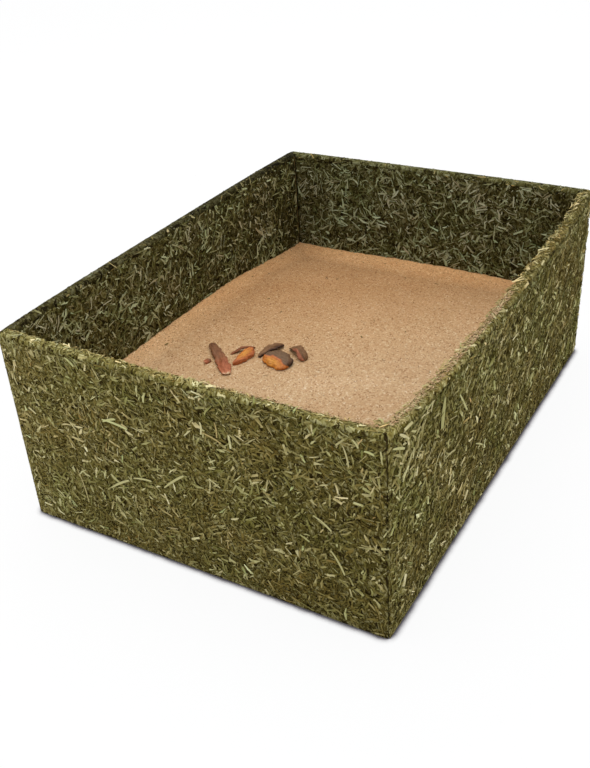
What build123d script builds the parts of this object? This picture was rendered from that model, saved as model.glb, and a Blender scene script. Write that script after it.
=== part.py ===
from build123d import *
from math import cos, pi, sin
import os

# Digging box for small animals: an open tray of five hay-faced boards,
# filled with digging sand, with a few dried root treats lying on the sand.
# Millimetres. X runs along the long side, Y along the short side, Z is up.
# The origin is on the ground, in the middle of the box.

# The box over all
box_length = 385.0
box_width = 280.0
box_height = 148.0
corner_radius = 3.5

# Every board is a stiff core with a mat of pressed hay glued on each side
core_thickness = 3.0
outer_hay_thickness = 2.5
inner_hay_thickness = 2.5
rim_hay_thickness = 3.0
rim_rounding = 2.2

# The floor board lies inside the four walls
floor_core_thickness = 3.0
floor_top_hay_thickness = 2.5
floor_underside_hay_thickness = 2.5

# Open seams between boards, filled with glue where core meets core
corner_seam = 1.0
floor_seam = 0.8

# The sand lies level along the left side and falls away to the right
sand_side_clearance = 0.2
sand_high_level = 73.5
sand_fall = 13.0
sand_fall_start = 30.0
sand_fall_run = 165.0
sand_ripple_height = 0.8
sand_ripple_length = 150.0
sand_ripple_width = 190.0

# The treats rest on the sand. Each has its place there, its turn about Z, its length, its width
# in the middle and at the ends, its thickness, its arch along its length, and how far its long
# edges bow to one side.
treat_clearance = 0.3
long_strip_x = -57.4
long_strip_y = 63.2
long_strip_turn = 47
long_strip_length = 50.0
long_strip_width = 9.0
long_strip_end_width = 6.5
long_strip_thickness = 2.4
long_strip_arch = 2.5
long_strip_bow = 0.6
stub_x = -65.4
stub_y = 68.8
stub_turn = -24
stub_length = 5.6
stub_width = 5.4
stub_end_width = 3.2
stub_thickness = 2.6
stub_arch = 0.8
stub_bow = 0.4
thin_curl_x = -40.4
thin_curl_y = 53.4
thin_curl_turn = -33
thin_curl_length = 20.5
thin_curl_width = 3.6
thin_curl_end_width = 1.8
thin_curl_thickness = 1.4
thin_curl_arch = 3.2
thin_curl_bow = 0.7
wedge_x = -49.4
wedge_y = 46.4
wedge_turn = -11
wedge_length = 24.0
wedge_width = 8.6
wedge_end_width = 2.6
wedge_thickness = 4.8
wedge_arch = 1.4
wedge_bow = 0.5
dark_strip_x = -30.8
dark_strip_y = 34.4
dark_strip_turn = -25
dark_strip_length = 25.0
dark_strip_width = 7.4
dark_strip_end_width = 3.7
dark_strip_thickness = 2.4
dark_strip_arch = 3.4
dark_strip_bow = -0.8
end_slice_x = -43.0
end_slice_y = 21.0
end_slice_turn = 76
end_slice_length = 23.0
end_slice_width = 18.0
end_slice_end_width = 7.6
end_slice_thickness = 5.4
end_slice_arch = 1.4
end_slice_bow = -0.8
bent_curl_x = -26.0
bent_curl_y = 12.8
bent_curl_turn = 53
bent_curl_length = 22.0
bent_curl_width = 8.6
bent_curl_end_width = 6.2
bent_curl_thickness = 2.0
bent_curl_arch = 6.0
bent_curl_bow = 0.6

wall_thickness = outer_hay_thickness + core_thickness + inner_hay_thickness
wall_board_height = box_height - rim_hay_thickness
cavity_length = box_length - 2 * wall_thickness
cavity_width = box_width - 2 * wall_thickness
floor_core_bottom = floor_underside_hay_thickness
floor_hay_bottom = floor_core_bottom + floor_core_thickness
floor_top = floor_hay_bottom + floor_top_hay_thickness
# A mitred end stands back by this much along its wall, half a seam on each side of the corner
mitre_setback = corner_seam / 2 * 2**0.5

os.makedirs("parts", exist_ok=True)


def save(piece, name):
    """Label a finished piece and write it to its own file."""
    piece.label = name
    export_step(piece, f"parts/{name}.step")


# The four walls. Each is drawn on a plane that lies on the ground against its outer face:
# local x runs along the wall, seen from outside, and local y is the depth into the box.
# Name, half the outer length, distance from the middle, turn about Z, corner at its left end.
walls = [
    ("front", box_length / 2, box_width / 2, 0, "front_left"),
    ("right", box_width / 2, box_length / 2, 90, "front_right"),
    ("back", box_length / 2, box_width / 2, 180, "back_right"),
    ("left", box_width / 2, box_length / 2, 270, "back_left"),
]


def mitred_corners(half_run, depth_from, depth_to):
    """The plan of one layer of a wall, cut at 45 degrees at both ends."""
    near = half_run - depth_from - mitre_setback
    far = half_run - depth_to - mitre_setback
    return [(-near, depth_from), (near, depth_from), (far, depth_to), (-far, depth_to)]


for wall, half_run, reach, turn, corner in walls:
    middle = Plane.XY.rotated((0, 0, turn))
    ground = Plane(middle.from_local_coords((0, -reach, 0)), x_dir=middle.x_dir, z_dir=middle.z_dir)

    # Outer mat of hay, rounded with the box's upright corners
    with BuildPart() as outer_hay:
        with BuildSketch(ground):
            Polygon(*mitred_corners(half_run, 0, outer_hay_thickness), align=None)
            with Locations((0, reach)):
                RectangleRounded(2 * half_run, 2 * reach, corner_radius, mode=Mode.INTERSECT)
        extrude(amount=wall_board_height)
    save(outer_hay.part, f"{wall}_wall_outer_hay")

    # Stiff core board
    core_face = outer_hay_thickness + core_thickness
    with BuildPart() as core:
        with BuildSketch(ground):
            Polygon(*mitred_corners(half_run, outer_hay_thickness, core_face), align=None)
        extrude(amount=wall_board_height)
    save(core.part, f"{wall}_wall_core")

    # Inner mat of hay
    with BuildPart() as inner_hay:
        with BuildSketch(ground):
            Polygon(*mitred_corners(half_run, core_face, wall_thickness), align=None)
        extrude(amount=wall_board_height)
    save(inner_hay.part, f"{wall}_wall_inner_hay")

    # Strip of hay over the board's top edge, rounded on both of its long edges
    with BuildPart() as rim_hay:
        with BuildSketch(ground.offset(wall_board_height)):
            with Locations((0, reach)):
                RectangleRounded(2 * half_run, 2 * reach, corner_radius)
                Rectangle(
                    2 * (half_run - wall_thickness),
                    2 * (reach - wall_thickness),
                    mode=Mode.SUBTRACT,
                )
        extrude(amount=rim_hay_thickness)
        fillet(rim_hay.faces().sort_by(Axis.Z)[-1].edges(), rim_rounding)
        with BuildSketch(ground.offset(wall_board_height)):
            Polygon(*mitred_corners(half_run, 0, wall_thickness), align=None)
        extrude(amount=rim_hay_thickness, mode=Mode.INTERSECT)
    save(rim_hay.part, f"{wall}_rim_hay")

    # Glue between the mitred ends of two cores, at this wall's left end
    with BuildPart() as corner_glue:
        with BuildSketch(ground):
            Polygon(
                (-half_run + outer_hay_thickness + mitre_setback, outer_hay_thickness),
                (-half_run + core_face + mitre_setback, core_face),
                (-half_run + core_face, core_face + mitre_setback),
                (-half_run + outer_hay_thickness, outer_hay_thickness + mitre_setback),
                align=None,
            )
        extrude(amount=wall_board_height)
    save(corner_glue.part, f"corner_glue_{corner}")

# The floor board, glued between the walls
floor_length = cavity_length - 2 * floor_seam
floor_width = cavity_width - 2 * floor_seam

with BuildPart() as floor_underside_hay:
    with BuildSketch(Plane.XY):
        Rectangle(floor_length, floor_width)
    extrude(amount=floor_underside_hay_thickness)
save(floor_underside_hay.part, "floor_underside_hay")

with BuildPart() as floor_core:
    with BuildSketch(Plane.XY.offset(floor_core_bottom)):
        Rectangle(floor_length, floor_width)
    extrude(amount=floor_core_thickness)
save(floor_core.part, "floor_core")

with BuildPart() as floor_top_hay:
    with BuildSketch(Plane.XY.offset(floor_hay_bottom)):
        Rectangle(floor_length, floor_width)
    extrude(amount=floor_top_hay_thickness)
save(floor_top_hay.part, "floor_top_hay")

with BuildPart() as floor_glue:
    with BuildSketch(Plane.XY.offset(floor_core_bottom)):
        Rectangle(cavity_length, cavity_width)
        Rectangle(floor_length, floor_width, mode=Mode.SUBTRACT)
    extrude(amount=floor_core_thickness)
save(floor_glue.part, "floor_glue")


# The sand, lofted through upright slices across the box
def sand_level(x, y):
    """Height of the sand's surface: a level stretch, a smooth fall to the right, and low ripples."""
    along_fall = min(max((x - sand_fall_start) / sand_fall_run, 0), 1)
    fallen = sand_fall * (1 - cos(pi * along_fall)) / 2
    ripple = sin(2 * pi * x / sand_ripple_length) * cos(2 * pi * y / sand_ripple_width)
    return sand_high_level - fallen + sand_ripple_height * ripple


slice_count = 13
surface_points = 11
sand_length = cavity_length - 2 * sand_side_clearance
sand_width = cavity_width - 2 * sand_side_clearance

with BuildPart() as sand_fill:
    for step in range(slice_count):
        x = sand_length * (step / (slice_count - 1) - 0.5)
        across = [sand_width * (k / (surface_points - 1) - 0.5) for k in range(surface_points)]
        with BuildSketch(Plane.YZ.offset(x)):
            with BuildLine():
                surface = Spline(*[(y, sand_level(x, y)) for y in across])
                Polyline(surface @ 1, (sand_width / 2, floor_top), (-sand_width / 2, floor_top), surface @ 0)
            make_face()
    loft()
save(sand_fill.part, "sand_fill")


# The treats: slices and peelings of dried root vegetables, each arched as it dried
def seat_height(place, reach):
    """A height just clear of the highest sand under a treat."""
    steps = (-1, -0.5, 0, 0.5, 1)
    near = [(place[0] + reach * i, place[1] + reach * j) for i in steps for j in steps]
    return max(sand_level(*point) for point in near) + treat_clearance


def save_treat(name, place, turn, length, width, thickness, arch, end_width, bow):
    """One dried piece, lying along its own x axis.

    place is its middle on the sand and turn its angle about Z. The piece is arched lengthwise,
    narrows from width to end_width, and its two long edges bow to the same side.
    """
    origin = (*place, seat_height(place, length / 2))
    seat = Plane(origin, x_dir=(1, 0, 0), z_dir=(0, 0, 1)).rotated((0, 0, turn))
    side = Plane(origin, x_dir=seat.x_dir, z_dir=-seat.y_dir)
    tip = length / 2
    with BuildPart() as piece:
        with BuildSketch(side):
            with BuildLine():
                ThreePointArc((-tip, 0), (0, arch), (tip, 0))
                Line((tip, 0), (tip, thickness))
                ThreePointArc((tip, thickness), (0, arch + thickness), (-tip, thickness))
                Line((-tip, thickness), (-tip, 0))
            make_face()
        extrude(amount=width, both=True)
        with BuildSketch(seat):
            with BuildLine():
                ThreePointArc((-tip, -end_width / 2), (0, bow - width / 2), (tip, -end_width / 2))
                Line((tip, -end_width / 2), (tip, end_width / 2))
                ThreePointArc((tip, end_width / 2), (0, bow + width / 2), (-tip, end_width / 2))
                Line((-tip, end_width / 2), (-tip, -end_width / 2))
            make_face()
        extrude(amount=arch + thickness, mode=Mode.INTERSECT)
    save(piece.part, name)


save_treat(
    "long_root_strip",
    place=(long_strip_x, long_strip_y),
    turn=long_strip_turn,
    length=long_strip_length,
    width=long_strip_width,
    thickness=long_strip_thickness,
    arch=long_strip_arch,
    end_width=long_strip_end_width,
    bow=long_strip_bow,
)
save_treat(
    "root_stub",
    place=(stub_x, stub_y),
    turn=stub_turn,
    length=stub_length,
    width=stub_width,
    thickness=stub_thickness,
    arch=stub_arch,
    end_width=stub_end_width,
    bow=stub_bow,
)
save_treat(
    "thin_root_curl",
    place=(thin_curl_x, thin_curl_y),
    turn=thin_curl_turn,
    length=thin_curl_length,
    width=thin_curl_width,
    thickness=thin_curl_thickness,
    arch=thin_curl_arch,
    end_width=thin_curl_end_width,
    bow=thin_curl_bow,
)
save_treat(
    "root_wedge",
    place=(wedge_x, wedge_y),
    turn=wedge_turn,
    length=wedge_length,
    width=wedge_width,
    thickness=wedge_thickness,
    arch=wedge_arch,
    end_width=wedge_end_width,
    bow=wedge_bow,
)
save_treat(
    "dark_root_strip",
    place=(dark_strip_x, dark_strip_y),
    turn=dark_strip_turn,
    length=dark_strip_length,
    width=dark_strip_width,
    thickness=dark_strip_thickness,
    arch=dark_strip_arch,
    end_width=dark_strip_end_width,
    bow=dark_strip_bow,
)
save_treat(
    "root_end_slice",
    place=(end_slice_x, end_slice_y),
    turn=end_slice_turn,
    length=end_slice_length,
    width=end_slice_width,
    thickness=end_slice_thickness,
    arch=end_slice_arch,
    end_width=end_slice_end_width,
    bow=end_slice_bow,
)
save_treat(
    "bent_root_curl",
    place=(bent_curl_x, bent_curl_y),
    turn=bent_curl_turn,
    length=bent_curl_length,
    width=bent_curl_width,
    thickness=bent_curl_thickness,
    arch=bent_curl_arch,
    end_width=bent_curl_end_width,
    bow=bent_curl_bow,
)
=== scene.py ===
from functools import partial
from math import cos, pi, radians, sin

import bpy
import numpy as np
from mathutils import Matrix, Vector


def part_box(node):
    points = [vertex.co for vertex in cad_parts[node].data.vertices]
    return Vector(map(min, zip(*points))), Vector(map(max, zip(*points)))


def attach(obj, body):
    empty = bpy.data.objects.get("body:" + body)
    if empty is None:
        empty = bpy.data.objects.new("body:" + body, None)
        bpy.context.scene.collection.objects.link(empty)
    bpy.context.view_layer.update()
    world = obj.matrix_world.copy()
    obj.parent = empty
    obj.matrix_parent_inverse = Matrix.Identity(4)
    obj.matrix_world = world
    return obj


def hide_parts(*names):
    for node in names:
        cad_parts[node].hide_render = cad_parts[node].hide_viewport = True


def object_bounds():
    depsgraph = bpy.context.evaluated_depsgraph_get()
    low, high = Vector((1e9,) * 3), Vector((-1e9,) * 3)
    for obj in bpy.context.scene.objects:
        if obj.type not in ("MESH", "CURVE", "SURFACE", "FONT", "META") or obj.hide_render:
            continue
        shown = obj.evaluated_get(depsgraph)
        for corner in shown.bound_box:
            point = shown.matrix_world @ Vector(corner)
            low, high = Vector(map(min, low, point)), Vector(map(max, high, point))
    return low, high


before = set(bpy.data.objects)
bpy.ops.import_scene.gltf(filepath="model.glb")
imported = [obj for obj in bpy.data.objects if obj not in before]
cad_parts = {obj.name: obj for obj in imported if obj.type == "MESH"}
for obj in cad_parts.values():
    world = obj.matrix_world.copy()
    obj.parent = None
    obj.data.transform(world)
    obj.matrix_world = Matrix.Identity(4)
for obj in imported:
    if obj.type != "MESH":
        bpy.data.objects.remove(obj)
cad_box = [list(corner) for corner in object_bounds()]

scene = bpy.context.scene
mm = 0.001

# The camera looks down on the box from outside its front left corner, as in the photograph.
# Its lens has a focal length of 980 pixels where the frame is 590 pixels wide and 768 high.
camera_azimuth, camera_elevation, camera_roll = radians(-58.214), radians(31.612), radians(-3.821)
camera_place = Vector((-572.74, -321.14, 442.10)) * mm
focal_length_px, frame_height_px, sensor_mm = 980, 768, 36

camera = bpy.data.objects.new("camera", bpy.data.cameras.new("camera"))
camera.data.sensor_width = sensor_mm
camera.data.lens = focal_length_px / frame_height_px * sensor_mm
camera.data.clip_start, camera.data.clip_end = 0.05, 50
towards_box = Matrix.Rotation(camera_azimuth, 4, "Z") @ Matrix.Rotation(pi / 2 - camera_elevation, 4, "X")
rolled = Matrix.Rotation(camera_roll, 4, "Z")
camera.matrix_world = Matrix.Translation(camera_place) @ towards_box @ rolled
scene.collection.objects.link(camera)
scene.camera = camera
scene.view_settings.view_transform = "Standard"


# The studio: a white floor and backdrop that show nearly white and keep a soft shadow, an even
# pale sky, and one large soft lamp overhead, a little behind the box.
def linear(colour):
    """An sRGB hex colour as linear red, green, blue and alpha."""
    parts = [int(colour[i:i + 2], 16) / 255 for i in (1, 3, 5)]
    return [p / 12.92 if p <= 0.04045 else ((p + 0.055) / 1.055) ** 2.4 for p in parts] + [1]


def add_node(tree, kind, *inputs, output=None, stops=(), **settings):
    """Add a node with its settings, its links and, for a colour ramp, its stops.

    Kind is its type's name, and its operation where it has one. Inputs are values or sockets to
    link from, in their order and then by name in a dictionary. Only the sockets that the settings
    leave in use count. Its first output is given back, unless another one is named.
    """
    kind, _, operation = kind.partition(" ")
    families = ("GeometryNode", "ShaderNode", "FunctionNode", "Node")
    node = tree.nodes.new(next(family + kind for family in families if hasattr(bpy.types, family + kind)))
    if operation:
        node.operation = operation
    for name, value in settings.items():
        setattr(node, name, value)
    for number, (at, colour) in enumerate(stops):
        ramp = node.color_ramp.elements
        stop = ramp[number] if number < 2 else ramp.new(at)
        stop.position, stop.color = at, linear(colour)
    in_use = [socket for socket in node.inputs if socket.enabled]
    sockets = {**{socket.name: socket for socket in reversed(in_use)}, **dict(enumerate(in_use))}
    named = inputs[-1] if inputs and isinstance(inputs[-1], dict) else {}
    in_order = inputs[:-1] if named else inputs
    for place, value in {**dict(enumerate(in_order)), **named}.items():
        if isinstance(value, bpy.types.NodeSocket):
            tree.links.new(value, sockets[place])
        else:
            sockets[place].default_value = value
    return node.outputs[output] if output else next((s for s in node.outputs if s.enabled), None)


def new_material(name):
    """An empty material, and the function that adds nodes to it."""
    material = bpy.data.materials.new(name)
    material.use_nodes = True
    material.node_tree.nodes.clear()
    return material, partial(add_node, material.node_tree)


def new_piece(name, points=(), faces=()):
    """A piece with these points and faces."""
    piece = bpy.data.objects.new(name, bpy.data.meshes.new(name))
    piece.data.from_pydata(points, [], faces)
    scene.collection.objects.link(piece)
    return piece


# Matt white paint. To the camera it is mostly a plain white glow, with a share of its real light
# and shade, so that the floor reads as white and still carries the shadow. The glow gives way
# along the foot of the box, where hardly any light gets in.
floor_paint, add = new_material("matt_white_floor_paint")
shade_kept, contact_reach = 0.08, 6.5 * mm
painted = add("BsdfDiffuse", linear("#fafafa"), 0.5)
open_sky = add("AmbientOcclusion", {"Distance": contact_reach}, output="AO", samples=16)
contact = add("ValToRGB", open_sky, stops=(
    (0.50, "#3e3b40"), (0.60, "#8f8c90"), (0.74, "#dddcdd"), (0.92, "#ffffff"),
))
glow = add("Emission", contact, 1.0)
path = add("LightPath").node.outputs
seen = add("Math MAXIMUM", path["Is Camera Ray"], path["Is Glossy Ray"])
glow_share = add("Math MULTIPLY", seen, 1 - shade_kept)
add("OutputMaterial", add("MixShader", glow_share, painted, glow))

floor_reach = 6
corners = [(x * floor_reach, y * floor_reach, 0) for x, y in ((-1, -1), (1, -1), (1, 1), (-1, 1))]
floor = new_piece("studio_floor", corners, [(0, 1, 2, 3)])
floor.data.materials.append(floor_paint)

sky_strength = 0.92
scene.world = bpy.data.worlds.new("studio_sky")
scene.world.use_nodes = True
scene.world.node_tree.nodes.clear()
add = partial(add_node, scene.world.node_tree)
path = add("LightPath").node.outputs
sky = add("Background", linear("#f6f8fb"), sky_strength)
backdrop = add("Background", linear("#ffffff"), 1.0)
seen = add("Math MAXIMUM", path["Is Camera Ray"], path["Is Glossy Ray"])
add("OutputWorld", add("MixShader", seen, sky, backdrop))

lamp = bpy.data.objects.new("soft_lamp", bpy.data.lights.new("soft_lamp", "AREA"))
lamp.data.shape, lamp.data.size, lamp.data.energy = "DISK", 1.4, 12.6
lamp.location = (0.22, 0.26, 1.60)
lamp.rotation_euler = (Vector((0, 0, 0.07)) - lamp.location).to_track_quat("-Z", "Y").to_euler()
scene.collection.objects.link(lamp)

# The four walls, seen from outside, as the boards were cut: half of each wall's run, how far its
# outer face stands from the middle of the box, and its turn about Z. Each wall bulges a little
# outwards between its corners, most at the rim, as light boards do once they are filled.
walls = ("front", "right", "back", "left")
half_length, half_width, box_height = Vector(cad_box[1])
half_run = {"front": half_length, "right": half_width, "back": half_length, "left": half_width}
reach = {"front": half_width, "right": half_length, "back": half_width, "left": half_length}
wall_turn = {wall: Matrix.Rotation(radians(90 * number), 4, "Z") for number, wall in enumerate(walls)}
bulge = {"front": 8.0 * mm, "right": 1.5 * mm, "back": 3.0 * mm, "left": 2.0 * mm}
core_low, core_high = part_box("front_wall_core")
core_start, core_end, board_height = core_low.y + half_width, core_high.y + half_width, core_high.z
wall_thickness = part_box("front_wall_inner_hay")[1].y + half_width
mitre_setback = half_length - core_start - core_high.x
out_face = Matrix.Rotation(radians(90), 4, "X")
in_face = Matrix.Translation((0, wall_thickness, 0)) @ Matrix.Rotation(pi, 4, "Z") @ out_face
pressed_within, pressed_to = 8 * mm, 0.25


def wall_bulge(wall, along, height):
    """How far a wall stands out of its flat plane at these places along it and up it."""
    between_corners = np.clip(1 - (along / half_run[wall]) ** 4, 0, 1)
    return bulge[wall] * between_corners * np.clip(height / box_height, 0, 1.1) ** 1.4


def move_points(piece, move):
    """Put each point of a piece where move sends its x, y and z."""
    places = np.empty(len(piece.data.vertices) * 3)
    piece.data.vertices.foreach_get("co", places)
    piece.data.vertices.foreach_set("co", np.stack(move(*places.reshape(-1, 3).T), 1).ravel())
    piece.data.update()


def stand_in_wall(piece, wall, facing):
    """Put a piece that is drawn flat into its wall, facing its way, and bulge it with the wall.

    After facing, x runs along the wall, y is the depth from its outer face and z is up. What
    stands out of the outer face is pressed flat along the wall's foot and its two upright ends.
    """
    def bulged(x, y, z):
        from_cut_edge = np.minimum(z, half_run[wall] - np.abs(x))
        pressed = y * np.clip(pressed_to + from_cut_edge / pressed_within, pressed_to, 1)
        return x, np.where(y < 0, pressed, y) - wall_bulge(wall, x, z), z

    piece.data.transform(facing)
    move_points(piece, bulged)
    piece.data.transform(wall_turn[wall] @ Matrix.Translation((0, -reach[wall], 0)))
    piece.data.update()


def on_box(piece, slot, *nodes):
    """A piece is fixed to the box and stands for these nodes. Its slot is not used."""
    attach(piece, "box")
    if nodes:
        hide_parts(*nodes)


# The hay mats on both sides of every board, and over the rims. Meadow hay is chopped, wetted
# and pressed into a felted mat. First the felt itself, a closed slab that is a little lumpy.
def tree_with(name, numbers, output):
    """A geometry tree with these inputs, which are whole or decimal numbers, and one output.

    With it come the function that adds nodes to it, and the sockets that give its inputs.
    """
    tree = bpy.data.node_groups.new(name, "GeometryNodeTree")
    for label, value in numbers.items():
        kind = "NodeSocketInt" if isinstance(value, int) else "NodeSocketFloat"
        tree.interface.new_socket(label, in_out="INPUT", socket_type=kind).default_value = value
    tree.interface.new_socket(output, in_out="OUTPUT", socket_type="NodeSocketGeometry")
    add = partial(add_node, tree)
    return tree, add, add("GroupInput").node.outputs


def grown(name, tree, numbers, material=None):
    """Run a geometry tree once with these inputs, and keep what it makes as a plain mesh.

    It has the tree's own material, unless another one is given.
    """
    piece = new_piece(name)
    growth = piece.modifiers.new("growth", "NODES")
    growth.node_group = tree
    for item in tree.interface.items_tree:
        if item.name in numbers:
            growth[item.identifier] = numbers[item.name]
    depsgraph = bpy.context.evaluated_depsgraph_get()
    mesh = bpy.data.meshes.new_from_object(
        piece.evaluated_get(depsgraph), preserve_all_data_layers=True, depsgraph=depsgraph
    )
    piece.modifiers.remove(growth)
    material = material or mesh.materials[-1]
    mesh.materials.clear()
    mesh.materials.append(material)
    mesh.polygons.foreach_set("material_index", [0] * len(mesh.polygons))
    piece.data = mesh
    mesh.name = name
    return piece


def finish(add, colour, roughness, shine=0.5, relief=None):
    """End a material. Its relief has the height it comes from, its depth and its strength."""
    look = {"Base Color": colour, "Roughness": roughness, "Specular IOR Level": shine}
    if relief:
        look["Normal"] = add("Bump", dict(zip(("Height", "Distance", "Strength"), relief)))
    add("OutputMaterial", add("BsdfPrincipled", look))


# Pressed meadow hay, chopped short and felted. The mat is matt and olive brown, and its colour is
# painted darker as well: painted shade of the loose blades that lie on it. Its finest fibres are
# 0.5 mm wide, and are drawn 1.0 to 1.3 mm wide, because finer ones don't show.
felt, add = new_material("pressed_meadow_hay_felt")
in_mm = add("VectorMath SCALE", add("Attribute", output="Vector", attribute_name="on_mat"), 1 / mm)
damp_patch_mm = 26
damp_patches = add("TexNoise", in_mm, 1 / damp_patch_mm, 2.0)
fibre_colour = add("ValToRGB", damp_patches, stops=((0.36, "#443b14"), (0.5, "#574d1f"), (0.64, "#65592a")))
fibre_height = 0.0
for patch_mm, fibre_mm, shade in (
    (7, 1.1, "#786d38"), (5, 1.1, "#8a804b"), (6, 1.0, "#a09766"), (5, 1.3, "#33290d"),
):
    moved = add("VectorMath ADD", in_mm, (patch_mm * 7.3, fibre_mm * 31, 0))
    patches = add("TexVoronoi", moved, 1 / patch_mm, output="Color", voronoi_dimensions="2D")
    any_way = add("Math MULTIPLY", patches, 2 * pi)
    turned = add("VectorRotate", moved, {"Angle": any_way}, rotation_type="Z_AXIS")
    drawn_out = add("VectorMath MULTIPLY", turned, (0.2, 1.0, 1.0))
    streaks = add("TexNoise", drawn_out, 1 / (2 * fibre_mm), 1.0, {"Distortion": 0.5})
    shown = add("MapRange", streaks, 0.52, 0.62, interpolation_type="SMOOTHSTEP")
    fibre_colour = add("Mix", shown, fibre_colour, linear(shade), data_type="RGBA")
    fibre_height = add("Math ADD", fibre_height, shown)
# Inside the box and on the far rims the hay is painted cooler and darker: painted shade
fresh_hay = "#e0eeff"


def aged(add, colour):
    """A hay colour, cooler by its cooling and lighter or darker by its lift: painted light and shade."""
    fresh = add("Attribute", output="Fac", attribute_name="fresh")
    cooled = add("Mix", fresh, colour, linear(fresh_hay), data_type="RGBA", blend_type="MULTIPLY")
    lift = add("Attribute", output="Fac", attribute_name="lift")
    return add("VectorMath SCALE", cooled, add("Math ADD", lift, 1.0))


finish(add, aged(add, fibre_colour), 0.9, 0.06, (fibre_height, 0.15 * mm, 0.6))

mat_tree, add, given = tree_with("hay_mat", {
    "Half run": 0.19, "Bottom": 0.0, "Top": 0.14, "Thickness": 0.0035,
    "Cells along": 96, "Cells across": 36, "Mitre across": 0.0, "Mitre through": 0.0,
    "Lump height": 0.0006, "Lump size": 0.009, "Fresh": 0.0, "Lift": 0.0, "Bleach": 0.0,
}, "Mat")
slab = add("MeshCube", (1, 1, 1), given["Cells along"], given["Cells across"], 2)
slab = add("StoreNamedAttribute", slab, True, "in_cube", add("InputPosition"), data_type="FLOAT_VECTOR")
in_cube = add("SeparateXYZ", add("InputNamedAttribute", "in_cube", data_type="FLOAT_VECTOR")).node.outputs
# Across the mat, from its bottom to its top, and through it, from its face down to its back
across = add("MapRange", in_cube["Y"], -0.5, 0.5, given["Bottom"], given["Top"], clamp=False)
through = add("Math MULTIPLY", add("Math SUBTRACT", in_cube["Z"], 0.5), given["Thickness"])
half_here = add("Math MULTIPLY_ADD", through, given["Mitre through"], given["Half run"])
half_here = add("Math MULTIPLY_ADD", across, given["Mitre across"], half_here)
end_to_end = add("Math MULTIPLY", in_cube["X"], 2.0)
flat_place = add("CombineXYZ", add("Math MULTIPLY", end_to_end, half_here), across, through)
slab = add("SetPosition", slab, True, flat_place)
slab = add("StoreNamedAttribute", slab, True, "on_mat", add("InputPosition"), data_type="FLOAT_VECTOR")
# Lumps over the face
lumps = add("TexNoise", flat_place, add("Math DIVIDE", 1.0, given["Lump size"]), 2.0)
drop = add("Math MULTIPLY", add("Math SUBTRACT", lumps, 0.5), given["Lump height"])
drop = add("Math MULTIPLY", drop, add("Math GREATER_THAN", in_cube["Z"], 0.0))
slab = add("SetPosition", slab, {"Offset": add("CombineXYZ", {"Z": drop})})
slab = add("SetShadeSmooth", slab)
# How much paler it is painted towards one end of its run, and darker towards the other: painted
# light and shade. A mat needs three times a blade's change of shade
paler = add("Math MULTIPLY", end_to_end, given["Bleach"])
lift = add("Math MULTIPLY_ADD", paler, 3.0, given["Lift"])
for label, value in (("fresh", given["Fresh"]), ("lift", lift)):
    slab = add("StoreNamedAttribute", slab, True, label, value)
add("GroupOutput", add("SetMaterial", slab, True, felt))

# Chopped blades and stalks on the mat: pieces of dry grass 2 to 11 mm long. Real ones are down to
# 0.5 mm wide, and these are drawn about 1.2 mm wide, because finer ones don't show. They lie every
# way in loose drifts, some with one end lifted, and are olive to pale straw.
blade, add = new_material("dry_grass_blade")
shade = add("Attribute", output="Fac", attribute_name="shade")
tint = add("Attribute", output="Fac", attribute_name="tint")
from_dark_to_straw = add("ValToRGB", shade, stops=(
    (0.00, "#453b12"), (0.20, "#786c3b"), (0.42, "#9c9266"), (0.62, "#bdb38b"),
    (0.78, "#d2c8a4"), (0.90, "#e0d7b6"), (1.00, "#eee7cb"),
))
from_blue_green_to_rust = add("ValToRGB", tint, stops=(
    (0.00, "#b0c4aa"), (0.10, "#b4c2a8"), (0.30, "#b6bda5"), (0.50, "#bcbcae"),
    (0.70, "#c1baa6"), (0.90, "#c5b79c"), (1.00, "#c8b092"),
))
tint_lift = 1.95
tinted = add("VectorMath MULTIPLY", from_dark_to_straw, from_blue_green_to_rust)
finish(add, aged(add, add("VectorMath SCALE", tinted, tint_lift)), 0.8, 0.10)

chopped_tree, add, given = tree_with("chopped_hay", {
    "Half run": 0.19, "Bottom": 0.0, "Top": 0.14, "Blades": 1000, "Shortest": 0.0020, "Longest": 0.011,
    "Width": 0.0012, "Tilt": 0.1, "Pile": 0.0009, "Darkest": 0.0, "Palest": 1.0, "Fresh": 0.0, "Lift": 0.0,
    "Bleach": 0.0, "Warmth": 0.0, "First shape": 0, "Last shape": 4, "Seed": 1,
}, "Hay")

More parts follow.
